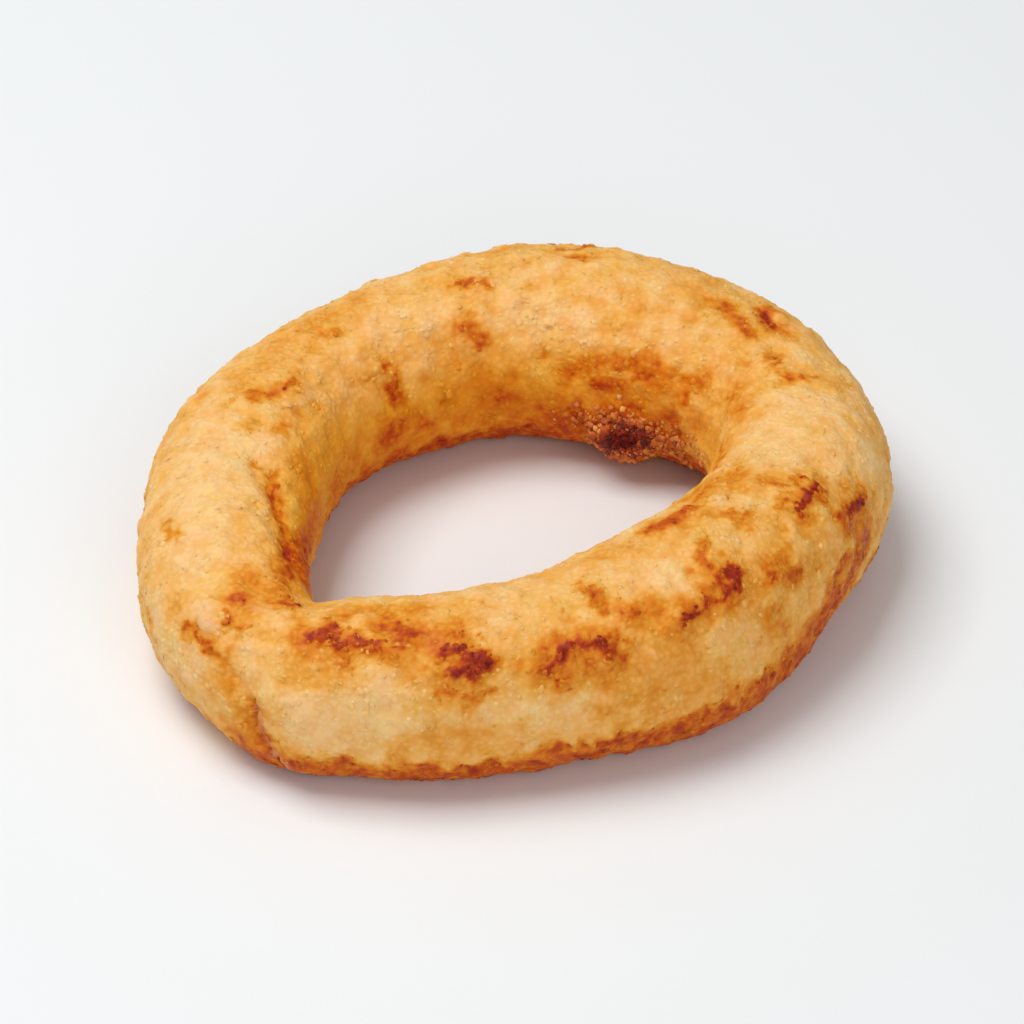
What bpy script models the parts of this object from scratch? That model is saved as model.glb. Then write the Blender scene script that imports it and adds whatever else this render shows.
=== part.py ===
"""A battered onion ring, fried and lying flat: an oval tube of crust with folds, blisters and browned crags.

Metres, +Z up. The origin is the middle of the ring's box, on the surface that the ring lies on.
A place on the crust is a bearing round the ring (0 is +X, 90 is +Y) and a turn round the tube
(0 faces outwards, 90 up, 180 into the hole), both in degrees. Lengths in the lists are in mm.
"""

import math
import random

import bmesh
import bpy
from mathutils import Matrix, Vector, noise

MM = 0.001

# Form of the ring, as stations every 15 degrees of bearing from 0
OUTER_RADIUS = (
    41.5, 42.2, 42.5, 42.2, 41.5, 41.0, 40.3, 38.8, 37.7, 37.9, 38.8, 39.8,
    40.9, 43.0, 45.4, 46.3, 44.9, 41.9, 38.9, 38.1, 38.1, 37.9, 38.1, 39.0,
)
HOLE_RADIUS = (
    20.7, 22.4, 23.0, 21.2, 19.3, 18.7, 18.6, 18.6, 18.5, 19.0, 19.7, 20.3,
    21.1, 23.0, 26.3, 28.3, 25.6, 22.2, 19.4, 17.6, 16.8, 17.0, 17.9, 19.1,
)
TUBE_HEIGHT = (
    20.1, 19.5, 19.2, 20.1, 20.8, 20.8, 20.6, 20.0, 19.3, 19.0, 19.0, 19.1,
    19.2, 19.1, 18.5, 17.4, 18.2, 18.6, 18.8, 19.5, 20.3, 20.5, 20.6, 20.4,
)
SQUARENESS = 2.2
RESTING_SINK = 0.45

# Uneven thickness of the batter: how far apart the lumps are, and how high
BATTER_LUMPS = ((15.0, 0.5), (6.0, 0.3))

# Folds of the crust: depth, half width, and the places that the fold runs through
FOLDS = (
    (1.25, 1.0, ((228.4, 38), (229.5, 33), (231, 24), (233.3, 3), (234.8, 341), (236, 318), (237, 300))),
    (0.60, 1.1, ((184.5, 103), (189.7, 113), (197.5, 131), (205, 128), (215.2, 134), (224, 118))),
    (0.75, 1.1, ((36, 69), (38.5, 75))),
    (0.30, 0.8, ((131.5, 122), (132.5, 130), (133.1, 148), (133.5, 160))),
    (2.10, 2.4, ((224.5, 168), (225.5, 148), (227.5, 128), (230.0, 112))),
)

# Swellings and blisters: bearing, turn, half width, height
BLISTERS = (
    (220.2, 55.5, 1.7, 0.90),
    (220.5, 38.5, 1.3, 0.45),
    (220.9, 78.2, 1.3, 0.45),
    (240.0, 5.0, 4.5, 0.40),
    (236.5, 322.0, 4.6, 1.60),
    (249.0, 320.0, 5.0, 0.60),
    (262.0, 320.0, 5.0, 0.60),
    (275.0, 320.0, 5.0, 0.70),
    (288.0, 320.0, 5.0, 0.90),
    (301.0, 322.0, 5.0, 1.30),
    (313.5, 322.0, 5.0, 1.50),
    (324.5, 324.0, 4.2, 1.20),
    (237.3, 74.3, 1.3, 0.60),
    (240.8, 73.0, 1.3, 0.45),
    (244.3, 70.6, 1.3, 0.60),
    (248.8, 66.8, 1.3, 0.70),
    (257.3, 81.2, 1.0, 0.25),
    (260.8, 57.0, 1.5, 0.70),
    (264.8, 48.5, 1.6, 0.70),
    (262.3, 31.0, 1.6, 0.25),
    (276.3, 40.4, 1.4, 0.60),
    (277.2, 29.0, 1.3, 0.40),
    (279.9, 50.3, 1.3, 0.60),
    (283.3, 51.1, 1.3, 0.55),
    (286.4, 44.5, 1.4, 0.70),
    (285.0, 84.0, 1.6, 0.25),
    (299.3, 48.9, 1.3, 0.55),
    (303.4, 51.6, 1.3, 0.45),
    (311.2, 60.1, 1.6, 0.70),
    (314.0, 79.4, 1.8, 0.25),
    (321.6, 47.0, 2.2, 0.40),
    (336.4, 68.8, 1.3, 0.55),
    (340.7, 63.5, 1.3, 0.60),
    (342.8, 72.5, 1.3, 0.55),
    (345.8, 38.5, 1.4, 0.60),
    (340.2, 32.0, 1.8, 0.45),
    (103.9, 129.2, 1.8, 0.40),
    (161.0, 95.0, 1.4, 0.25),
    (158.0, 104.0, 1.5, 0.40),
    (136.8, 86.2, 1.4, 0.25),
    (101.0, 87.5, 1.6, 0.25),
    (96.4, 177.5, 1.1, 0.25),
    (31.0, 103.0, 1.5, 0.45),
    (22.8, 100.1, 1.5, 0.55),
    (46.0, 163.0, 5.0, 0.50),
    (54.0, 203.0, 4.5, 1.20),
    (5.0, 62.0, 1.7, 0.45),
    (22.0, 28.0, 2.0, 0.45),
    (58.0, 8.0, 2.6, 0.40),
    (72.0, 52.0, 1.6, 0.45),
    (95.0, 28.0, 1.9, 0.50),
    (119.0, 48.0, 2.0, 0.40),
    (148.0, 16.0, 2.3, 0.40),
    (168.0, 50.0, 1.7, 0.40),
    (193.0, 18.0, 2.1, 0.40),
    (250.0, 176.0, 2.0, 0.40),
    (292.0, 168.0, 2.1, 0.45),
    (332.0, 182.0, 2.0, 0.35),
)

# Burnt crumbs stuck inside the hole: how many, where their middle is, how far they spread, how big they are
CRUMBS = 24
CRUMBS_AT = (54.0, 205.0)
CRUMBS_SPREAD = (11.0, 13.0)
CRUMB_RADIUS = (0.8, 1.3)
CRUMB_SUNK = 0.05
CRUMB_ROUGHNESS = 0.18
CRUMB_SEED = 3

# Crust: golden batter in linear colour, a little oily
CRUST_COLOUR = (0.776, 0.407, 0.137, 1.0)
CRUST_ROUGHNESS = 0.55

# Fineness of the mesh
FACES_ROUND_RING = 140
FACES_ROUND_TUBE = 36


def stationed(values, bearing):
    """The value at a bearing, on a smooth closed curve through evenly spaced stations."""
    place = (bearing / 360.0) * len(values)
    start = math.floor(place)
    t = place - start
    before, here, after, beyond = (values[(start + k) % len(values)] for k in (-1, 0, 1, 2))
    slope_here = (after - before) / 2
    slope_after = (beyond - here) / 2
    return (
        (2 * t**3 - 3 * t**2 + 1) * here
        + (t**3 - 2 * t**2 + t) * slope_here
        + (3 * t**2 - 2 * t**3) * after
        + (t**3 - t**2) * slope_after
    )


def raised(part, power):
    """A cosine or sine raised to a power, with its sign kept."""
    return math.copysign(abs(part) ** power, part)


def smooth_tube(bearing, turn):
    """A point of the tube before its relief, and the way that the crust faces there."""
    outer = stationed(OUTER_RADIUS, bearing)
    hole = stationed(HOLE_RADIUS, bearing)
    half_width = (outer - hole) / 2
    half_height = stationed(TUBE_HEIGHT, bearing) / 2
    a, t = math.radians(bearing), math.radians(turn)
    out = (outer + hole) / 2 + half_width * raised(math.cos(t), 2 / SQUARENESS)
    up = half_height + half_height * raised(math.sin(t), 2 / SQUARENESS) - RESTING_SINK
    flatter = 2 - 2 / SQUARENESS
    facing_out = raised(math.cos(t), flatter) / half_width
    facing_up = raised(math.sin(t), flatter) / half_height
    facing = Vector((facing_out * math.cos(a), facing_out * math.sin(a), facing_up)).normalized()
    return Vector((out * math.cos(a), out * math.sin(a), up)), facing


def from_piece(place, start, end):
    """Distance from a place to the straight piece between two points."""
    along = end - start
    share = (place - start).dot(along) / along.length_squared
    return (place - start - along * max(0.0, min(1.0, share))).length


def swelling(distance, half_width):
    """A bell that is one in its middle and fades over its half width."""
    return math.exp(-((distance / half_width) ** 2))


def lumps(place):
    """Height of the uneven batter at a place."""
    return sum(height * noise.noise(place / apart) for apart, height in BATTER_LUMPS)


def crust_relief():
    """The folds and blisters as points in space, ready to be measured from."""
    folds = [(depth, width, [smooth_tube(*at)[0] for at in run]) for depth, width, run in FOLDS]
    blisters = [(smooth_tube(bearing, turn)[0], width, height) for bearing, turn, width, height in BLISTERS]
    return folds, blisters


def crust_point(bearing, turn, relief):
    """The crust's place at a bearing and a turn, with its relief, flat where it lies on the surface."""
    place, facing = smooth_tube(bearing, turn)
    folds, blisters = relief
    height = lumps(place)
    for depth, width, run in folds:
        nearest = min(from_piece(place, start, end) for start, end in zip(run, run[1:]))
        height -= depth * swelling(nearest, width)
    for middle, width, top in blisters:
        height += top * swelling((place - middle).length, width)
    place += facing * height
    place.z = max(place.z, 0.0)
    return place * MM


def ring_mesh():
    """The tube of crust as a closed grid of faces round the ring and round the tube."""
    mesh = bmesh.new()
    relief = crust_relief()
    rows = []
    for i in range(FACES_ROUND_RING):
        bearing = 360.0 * i / FACES_ROUND_RING
        turns = [360.0 * j / FACES_ROUND_TUBE for j in range(FACES_ROUND_TUBE)]
        rows.append([mesh.verts.new(crust_point(bearing, turn, relief)) for turn in turns])
    for i, row in enumerate(rows):
        following = rows[(i + 1) % FACES_ROUND_RING]
        for j in range(FACES_ROUND_TUBE):
            k = (j + 1) % FACES_ROUND_TUBE
            mesh.faces.new((row[j], following[j], following[k], row[k]))
    bmesh.ops.recalc_face_normals(mesh, faces=mesh.faces)
    data = bpy.data.meshes.new("onion_ring")
    mesh.to_mesh(data)
    mesh.free()
    return data


def crumb_mesh(rng, middle, radius):
    """One burnt crumb: a small knobbly ball."""
    mesh = bmesh.new()
    bmesh.ops.create_icosphere(mesh, subdivisions=2, radius=radius)
    for vert in mesh.verts:
        vert.co = (middle + vert.co * rng.uniform(1 - CRUMB_ROUGHNESS, 1 + CRUMB_ROUGHNESS)) * MM
    data = bpy.data.meshes.new("crumb")
    mesh.to_mesh(data)
    mesh.free()
    return data


def add_crumbs(ring):
    """Fuse the burnt crumbs onto the crust."""
    rng = random.Random(CRUMB_SEED)
    relief = crust_relief()
    crumbs = bpy.data.collections.new("crumbs")
    bpy.context.scene.collection.children.link(crumbs)
    for _ in range(CRUMBS):
        angle = rng.uniform(0, 2 * math.pi)
        away = math.sqrt(rng.random())
        bearing = CRUMBS_AT[0] + CRUMBS_SPREAD[0] * away * math.cos(angle)
        turn = CRUMBS_AT[1] + CRUMBS_SPREAD[1] * away * math.sin(angle)
        radius = rng.uniform(*CRUMB_RADIUS)
        facing = smooth_tube(bearing, turn)[1]
        middle = crust_point(bearing, turn, relief) / MM + facing * radius * CRUMB_SUNK
        crumbs.objects.link(bpy.data.objects.new("crumb", crumb_mesh(rng, middle, radius)))
    fuse(ring, crumbs)


def fuse(solid, others):
    """Unite a solid with everything in a collection, and take the collection's objects away."""
    union = solid.modifiers.new("union", "BOOLEAN")
    union.operation = "UNION"
    union.operand_type = "COLLECTION"
    union.collection = others
    union.solver = "EXACT"
    graph = bpy.context.evaluated_depsgraph_get()
    solid.data = bpy.data.meshes.new_from_object(solid.evaluated_get(graph))
    solid.modifiers.clear()
    for other in list(others.objects):
        bpy.data.objects.remove(other)
    bpy.data.collections.remove(others)


def put_on_origin(ring):
    """Move the ring so that the middle of its box is over the origin and its underside is at zero."""
    xs, ys, zs = zip(*(vert.co for vert in ring.data.vertices))
    middle = Vector(((min(xs) + max(xs)) / 2, (min(ys) + max(ys)) / 2, min(zs)))
    ring.data.transform(Matrix.Translation(-middle))


def crust_material():
    """The fried batter."""
    crust = bpy.data.materials.new("fried_crust")
    crust.use_nodes = True
    shader = crust.node_tree.nodes["Principled BSDF"]
    shader.inputs["Base Color"].default_value = CRUST_COLOUR
    shader.inputs["Roughness"].default_value = CRUST_ROUGHNESS
    shader.inputs["Metallic"].default_value = 0.0
    return crust


def main():
    """Build the onion ring."""
    for old in list(bpy.data.objects):
        bpy.data.objects.remove(old)
    ring = bpy.data.objects.new("onion_ring", ring_mesh())
    bpy.context.scene.collection.objects.link(ring)
    add_crumbs(ring)
    put_on_origin(ring)
    ring.data.name = "onion_ring"
    ring.data.materials.clear()
    ring.data.materials.append(crust_material())
    for face in ring.data.polygons:
        face.material_index = 0
        face.use_smooth = True


main()
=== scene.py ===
"""A thick battered onion ring, fried golden: its crust, crumbs, light and camera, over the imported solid."""

import math

import bmesh
import bpy
import numpy as np
from bpy.props import FloatProperty, FloatVectorProperty, IntProperty, PointerProperty
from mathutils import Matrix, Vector
from mathutils.bvhtree import BVHTree


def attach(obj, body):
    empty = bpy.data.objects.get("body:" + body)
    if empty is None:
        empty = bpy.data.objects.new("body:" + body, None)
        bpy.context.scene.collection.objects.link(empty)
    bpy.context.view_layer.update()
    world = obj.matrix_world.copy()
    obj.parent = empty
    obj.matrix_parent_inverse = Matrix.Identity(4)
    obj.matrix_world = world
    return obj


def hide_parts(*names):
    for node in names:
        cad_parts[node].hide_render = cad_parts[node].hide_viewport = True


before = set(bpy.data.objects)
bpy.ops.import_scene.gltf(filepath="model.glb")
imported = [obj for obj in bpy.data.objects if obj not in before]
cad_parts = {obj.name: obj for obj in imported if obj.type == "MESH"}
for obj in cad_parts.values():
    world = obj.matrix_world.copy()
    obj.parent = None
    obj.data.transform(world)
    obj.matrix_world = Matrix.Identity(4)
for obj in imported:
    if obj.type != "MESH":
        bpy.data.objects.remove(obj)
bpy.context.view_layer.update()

bl_info = {
    "name": "Fried Onion Ring",
    "version": (1, 0, 0),
    "blender": (4, 5, 0),
    "location": "3D View > Sidebar > Onion Ring",
    "description": "Dresses the onion ring solid in fried batter and crumbs, and lights it",
    "category": "Object",
}

BODY = "root"
SOLID = "onion_ring"
MM = 0.001

# Places on the crust are read in degrees: the bearing round the ring about the origin, in its hole, 0 along
# +X and 90 along +Y, and the turn round the crust tube, 0 outwards, 90 up and 180 into the hole.
# Lengths are millimetres until a mesh is made of them, and metres for the lights and the camera.
SPINE_HEIGHT = 9.6
# Corners of the crust's grid round the ring and round its tube
ROUND_RING = 520
ROUND_TUBE = 190
# What each corner keeps for its colour: how browned, how pink, and how much painted warm bounce light it
# gets, 0 to 1
SHADES = ("browning", "blush", "warm_bounce")
# The deepest and the highest that the crust's relief goes off the solid's smooth skin
RELIEF_LIMITS = (-0.9, 0.55)
# Crumbs lie only where the crust is higher than this, clear of what the ring lies on
CRUMBS_ABOVE = 0.6
# How many browned places, pits and bumps are spread by chance
UNSEEN_MARKS = 70
PITS = 270
BUMPS = 160
# How far above level the ring is seen from, in degrees
VIEW_HEIGHT = 38
# What the lights point at, and their white
RING_MIDDLE = (0, 0, 0.01)
DAYLIGHT = "#FFFFFF"

# Browned places: how brown, 0 pale to 1 burnt, half their width, and the line that they follow
FRONT_BAR_BROWNING = (
    (0.77, 0.72, ((236.7, 62), (238.6, 66), (240.5, 63), (241.7, 59))),
    (0.68, 0.42, ((238.0, 81), (240.2, 68))),
    (0.60, 0.42, ((241.8, 55), (242.9, 48))),
    (0.74, 0.42, ((243.2, 62), (244.8, 60), (247.3, 56), (249.6, 57), (251.0, 59))),
    (0.64, 0.63, ((249.0, 77), (250.6, 65), (251.9, 71))),
    (0.86, 0.59, ((258.1, 56), (259.7, 55), (260.9, 53))),
    (0.88, 0.74, ((261.0, 51), (262.3, 47), (264.4, 47), (265.3, 44))),
    (0.86, 0.63, ((260.4, 41), (261.9, 40), (263.3, 39))),
    (0.75, 0.38, ((259.4, 72),)),
    (0.60, 0.32, ((263.0, 64),)),
    (0.60, 0.29, ((258.4, 31), (259.9, 26), (261.6, 23), (263.8, 24), (265.2, 26))),
    (0.60, 0.34, ((257.3, 46), (258.3, 42))),
    (0.84, 0.50, ((274.9, 38), (276.5, 40), (278.3, 47), (279.7, 50))),
    (0.83, 0.42, ((279.7, 50), (281.6, 46), (283.2, 46), (284.9, 46))),
    (0.76, 0.44, ((283.1, 43), (284.2, 38), (285.8, 37), (286.5, 44))),
    (0.74, 0.46, ((276.0, 26),)),
    (0.62, 0.42, ((275.1, 47),)),
    (0.52, 0.27, ((288.0, 45), (288.1, 36), (286.5, 29), (284.8, 27))),
    (0.48, 0.27, ((273.0, 39), (273.6, 29), (275.3, 21), (278.1, 20))),
    (0.54, 0.63, ((284.7, 84), (286.1, 73), (286.8, 68))),
    (0.58, 0.32, ((286.5, 82),)),
    (0.55, 0.32, ((282.8, 92),)),
    (0.62, 0.34, ((291.5, 61), (291.5, 55))),
    (0.82, 0.38, ((298.6, 44), (300.3, 47), (302.8, 48), (305.0, 49))),
    (0.62, 0.42, ((305.0, 49), (307.4, 48))),
    (0.58, 0.36, ((296.9, 48), (298.5, 43))),
    (0.58, 0.34, ((298.5, 35),)),
    (0.50, 1.10, ((246.5, 77), (251.0, 72), (256.0, 68))),
    (0.45, 1.00, ((290.0, 60), (295.0, 56))),
)
RIGHT_BAR_BROWNING = (
    (0.86, 0.48, ((312.7, 60), (313.0, 55), (311.3, 50), (308.9, 49))),
    (0.79, 0.55, ((311.3, 59), (311.0, 54))),
    (0.66, 0.46, ((309.9, 59), (308.7, 51))),
    (0.58, 0.38, ((308.8, 41),)),
    (0.56, 0.53, ((313.7, 83), (310.4, 76), (308.8, 66))),
    (0.48, 0.38, ((305.9, 71),)),
    (0.84, 0.46, ((334.5, 65), (335.3, 61), (338.1, 62), (340.3, 62), (342.8, 64))),
    (0.64, 0.27, ((340.5, 75), (343.1, 74), (342.7, 68))),
    (0.60, 0.46, ((338.2, 85), (339.1, 80))),
    (0.56, 0.42, ((332.8, 71),)),
    (0.84, 0.62, ((348.3, 36), (345.5, 35), (342.9, 36))),
    (0.60, 0.50, ((340.6, 41), (341.1, 26), (340.7, 17), (336.2, 16), (333.9, 10), (332.5, 2))),
    (0.66, 0.27, ((323.0, 89), (324.6, 84), (325.9, 80))),
    (0.54, 0.34, ((323.0, 77), (323.0, 73))),
    (0.56, 0.67, ((319.7, 48), (321.2, 40), (325.0, 34))),
    (0.48, 0.42, ((322.9, 48), (325.3, 48))),
    (0.50, 0.42, ((317.9, 40),)),
    (0.46, 0.53, ((316.8, 27), (315.3, 23), (319.3, 7))),
    (0.46, 0.25, ((328.5, 58),)),
    (0.48, 0.53, ((6.8, 153), (350.3, 137))),
    (0.44, 0.42, ((340.3, 108),)),
    (0.62, 0.75, ((307.5, 114), (311.5, 110), (316.0, 111), (321.0, 109))),
    (0.56, 0.50, ((325.0, 113), (332.0, 117))),
    (0.40, 0.84, ((22.3, 135), (13.1, 134))),
    (0.52, 1.30, ((338.0, 354), (330.0, 348), (320.0, 343))),
    (0.60, 1.10, ((346.9, 8), (340.7, 3), (337.0, 353), (332.3, 348), (328.8, 335))),
)
BACK_BAR_BROWNING = (
    (0.52, 0.59, ((108.1, 128), (105.1, 128), (103.3, 134), (101.4, 141))),
    (0.60, 0.29, ((102.5, 131),)),
    (0.56, 0.42, ((100.8, 141),)),
    (0.66, 0.30, ((134.6, 135), (132.6, 132))),
    (0.60, 0.55, ((132.0, 148), (135.1, 152), (134.4, 162))),
    (0.56, 0.80, ((135.1, 179), (139.3, 186))),
    (0.54, 0.60, ((124.4, 190),)),
    (0.66, 0.36, ((166.0, 100), (164.1, 104), (162.2, 110), (159.2, 112))),
    (0.68, 0.29, ((167.7, 93),)),
    (0.50, 0.34, ((139.2, 87), (137.1, 94))),
    (0.50, 0.29, ((142.4, 85),)),
    (0.67, 0.32, ((104.5, 96), (102.2, 96), (100.3, 96), (97.8, 102))),
    (0.80, 0.24, ((96.8, 179),)),
    (0.42, 0.55, ((176.1, 123), (176.4, 118))),
    (0.40, 0.63, ((177.2, 96),)),
    (0.58, 0.42, ((78.3, 76), (76.2, 78))),
    (0.56, 0.32, ((81.9, 66), (75.8, 58))),
    (0.66, 0.36, ((25.3, 96), (20.7, 97), (18.1, 91), (17.1, 86))),
    (0.60, 0.27, ((26.0, 101),)),
    # The next two places are painted shadow: the dark one in the notch at the back right, and the weaker one
    # beside it
    (0.92, 0.63, ((39.5, 65), (34.3, 74))),
    (0.52, 0.84, ((44.3, 84), (34.3, 93))),
    (0.46, 0.32, ((81.9, 151),)),
    (0.44, 0.32, ((109.5, 154),)),
)
HOLE_WALL_BROWNING = (
    (0.47, 0.70, ((73.7, 161), (61.4, 150), (49.7, 148), (38.3, 148), (32.8, 143))),
    (0.54, 0.53, ((35.1, 157),)),
    (0.54, 0.46, ((52.3, 144), (49.9, 154))),
    (0.56, 0.53, ((63.4, 164), (55.0, 163))),
    (0.56, 1.05, ((70.5, 196), (58.9, 185), (49.1, 177))),
    (1.00, 1.25, ((56.0, 195), (49.0, 196), (44.0, 191))),
    (0.60, 1.60, ((72.0, 194), (60.0, 196), (42.0, 196))),
    (0.56, 0.63, ((38.2, 173), (35.3, 187))),
)
LEFT_BAR_BROWNING = (
    (0.66, 0.34, ((192.1, 123), (199.1, 131), (204.4, 138), (208.9, 140), (214.3, 142), (220.6, 134))),
    (0.56, 1.30, ((204.0, 172), (210.0, 160), (216.3, 146))),
    (0.50, 0.42, ((189.4, 111),)),
    (0.63, 0.38, ((218.2, 26), (221.1, 31), (222.5, 30), (225.0, 29))),
    (0.62, 0.34, ((222.4, 56), (224.2, 55), (226.0, 56))),
    (0.60, 0.85, ((222.3, 73),)),
    (0.70, 0.42, ((226.1, 94), (228.4, 92), (229.6, 96))),
    (0.62, 0.55, ((226.0, 102), (225.4, 109))),
    (0.38, 0.50, ((226.4, 38), (226.3, 23))),
    (0.50, 0.30, ((228.4, 11),)),
    (0.50, 0.28, ((229.4, 1),)),
    # The next four places follow the fold at the front left: its dark edges and its left side are partly
    # browning and partly painted shade of the fold
    (0.66, 0.20, ((232.4, 355), (233.0, 346), (234.2, 338), (237.0, 322))),
    (0.60, 0.45, ((232.9, 1), (233.4, 352), (234.6, 341), (236.6, 333))),
    (0.58, 0.13, ((233.8, 357), (234.5, 351), (235.8, 342), (237.6, 334))),
    (0.54, 0.60, ((231.0, 352), (231.6, 345), (232.6, 337))),
    (0.44, 0.42, ((199.7, 48), (204.4, 53))),
    (0.36, 0.42, ((208.2, 4), (210.9, 358))),
)
BROWNED_PLACES = (
    FRONT_BAR_BROWNING + RIGHT_BAR_BROWNING + BACK_BAR_BROWNING + HOLE_WALL_BROWNING + LEFT_BAR_BROWNING
)

# Creases of the crust: how deep they are cut, half their width, and the line that they follow
CREASES = (
    (0.45, 0.75, ((192.1, 123), (199.1, 131), (204.4, 138), (208.9, 140), (215.0, 141))),
    (0.40, 0.50, ((225.0, 29), (230.4, 12), (232.6, 357))),
    (0.65, 0.50, ((231.6, 6), (232.3, 355), (233.5, 343), (235.4, 333), (236.8, 326))),
    (0.30, 0.45, ((39.5, 65), (34.3, 74))),
)

# Places paler or more golden than the rest: how brown, half their width, how soft their edge is, their line
TONED_PLACES = (
    (0.14, 0.95, 0.30, ((220, 52), (221, 38))),
    (0.10, 0.80, 0.40, ((226.5, 80), (229, 76))),
    (0.00, 3.40, 0.80, ((240.5, 12), (249.5, 14))),
    (0.02, 2.40, 0.80, ((272, 10), (278, 10))),
    (0.22, 1.20, 0.80, ((255, 18), (258, 12))),
    (0.36, 1.20, 0.80, ((279, 30), (283, 26))),
    (0.08, 1.50, 0.80, ((266, 82), (272, 78))),
    (0.13, 2.60, 0.80, ((304, 25), (311, 16))),
    (0.06, 3.60, 0.80, ((352, 95), (8, 96))),
    (0.05, 4.00, 0.80, ((184, 96), (200, 78))),
    (0.03, 3.20, 0.80, ((180, 66), (211, 60))),
    (0.04, 2.80, 0.80, ((74, 130), (86, 128))),
    (0.08, 2.60, 0.80, ((112, 112), (126, 110))),
    (0.31, 2.40, 0.80, ((132, 80), (148, 72), (164, 84))),
    (0.40, 1.80, 0.80, ((219, 92), (226, 70))),
    (0.56, 1.40, 0.80, ((214, 146), (219, 128), (224, 114))),
    (0.52, 2.00, 0.80, ((192, 170), (202, 172), (212, 168), (218, 158))),
    (0.42, 1.80, 0.80, ((238, 96), (250, 96))),
    (0.30, 1.50, 0.80, ((236, 33), (245, 37))),
    (0.34, 1.00, 0.80, ((254.5, 40),)),
    (0.03, 2.40, 0.80, ((211, 14), (213.5, 359), (221, 4))),
    (0.30, 1.20, 0.80, ((227, 10), (229.5, 352), (232, 338))),
    (0.18, 1.10, 0.80, ((235.5, 10), (237, 352))),
    (0.28, 1.50, 0.80, ((255, 355), (270, 350))),
    (0.34, 1.80, 0.80, ((284, 6), (288, 24))),
    (0.31, 2.60, 0.80, ((291, 358), (297, 22), (302, 6))),
    (0.32, 1.80, 0.80, ((294, 112), (301, 100))),
    (0.34, 1.80, 0.80, ((315, 108), (321, 98))),
    (0.45, 2.20, 0.80, ((331, 120), (336, 124), (337, 110))),
    (0.36, 1.60, 0.80, ((335, 100), (339, 88))),
    (0.10, 1.60, 0.80, ((346, 56), (352, 60))),
    (0.05, 2.00, 0.80, ((352, 46), (360, 40))),
    (0.28, 2.20, 0.80, ((326, 22), (333, 45))),
    (0.54, 1.70, 0.80, ((331, 346), (338, 352), (343, 4), (347, 22))),
    (0.27, 2.60, 0.80, ((10, 132), (26, 130))),
    (0.17, 2.60, 0.80, ((136, 158), (152, 158), (172, 150))),
    (0.44, 1.60, 0.80, ((46, 158), (50, 142))),
)

# Pinkish skin of blisters: how pink, how high they stand, half their width, and the line that they follow
BLISTERS = (
    (0.44, 0.36, 0.90, ((219.8, 52), (221.2, 39))),
    (0.25, 0.12, 0.80, ((226.5, 80), (229.0, 76))),
    (0.42, 0.05, 0.55, ((232.6, 4), (233.2, 352), (234.3, 341), (236.4, 333), (237.5, 325))),
)

# Bearing and turn of the burnt crumbs stuck inside the hole, and how far they spread to each side
BURNT_BEARING = 50.5
BURNT_TURN = 194.0
BURNT_SPREAD = 9.0


def linear(code):
    """A colour given as an sRGB hex value, in the linear light that Blender works in."""
    parts = [int(code[k:k + 2], 16) / 255 for k in (1, 3, 5)]
    return tuple(p / 12.92 if p <= 0.04045 else ((p + 0.055) / 1.055) ** 2.4 for p in parts) + (1.0,)


def colour(name, description, code):
    """A colour that the user can change, with its default."""
    return FloatVectorProperty(
        name=name, description=description, subtype="COLOR", size=4, min=0.0, max=1.0, default=linear(code)
    )


def small_length(name, description, default, most, least=0.0):
    """A length that the user can change, with its default and limits in millimetres."""
    return FloatProperty(
        name=name, description=description, default=default * MM, min=least * MM, max=most * MM,
        precision=5, unit="LENGTH",
    )


class CrustLook(bpy.types.PropertyGroup):
    """Relief and colours of the fried batter."""

    swells: small_length("Swells", "Height of the batter's soft lumps, about 3 mm apart", 0.09, most=0.3)
    grain: small_length("Grain", "Height of the batter's small bumps, about 1.8 mm apart", 0.06, most=0.2)
    crags: small_length("Crags", "Height that browned places stand up by", 0.26, most=0.5)
    browning: FloatProperty(
        name="Browning", description="How brown the plain crust is between its marks, 0 pale to 1 burnt",
        default=0.17, min=0.0, max=1.0, subtype="FACTOR",
    )
    # The cream tops of the lumps and golden hollows come partly from painted shade laid on by the crust's
    # relief
    cream: colour("Cream", "Palest batter, on top of the lumps", "#F9D39B")
    honey: colour("Honey", "Plain batter", "#F1B761")
    golden: colour("Golden", "Batter in the hollows", "#E4992E")
    amber: colour("Amber", "Halo of a browned place", "#DA7D1B")
    orange: colour("Orange", "Inner halo of a browned place", "#C55813")
    russet: colour("Russet", "Browned crag", "#AA3B1B")
    mahogany: colour("Mahogany", "Darkest crag", "#922A1B")
    burnt: colour("Burnt", "Burnt crumb", "#60161D")
    blush: colour("Blush", "Pinkish skin of a blister", "#F3BC92")
    # Painted warm bounce light: the golden tint that the batter inside the hole gets
    painted_bounce: colour("Painted warm bounce", "Tint of the batter that soaked up oil inside the hole", "#FFE87E")


class CrumbLook(bpy.types.PropertyGroup):
    """Number and size of the crumbs of each kind."""

    fine_count: IntProperty(
        name="Fine crumbs", description="Grains of batter all over the ring", default=6500, min=0, max=6600,
    )
    fine_size: small_length("Fine crumb size", "Width of the usual fine crumb", 0.38, least=0.1, most=1.0)
    browned_count: IntProperty(
        name="Browned crumbs", description="Grains on and round the browned places",
        default=1500, min=0, max=5000,
    )
    browned_size: small_length(
        "Browned crumb size", "Width of the usual browned crumb", 0.38, least=0.1, most=1.5
    )
    burnt_count: IntProperty(
        name="Burnt crumbs", description="Crumbs burnt on inside the hole", default=900, min=0, max=2000,
    )
    burnt_size: small_length("Burnt crumb size", "Width of the usual burnt crumb", 0.52, least=0.2, most=2.0)


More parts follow.
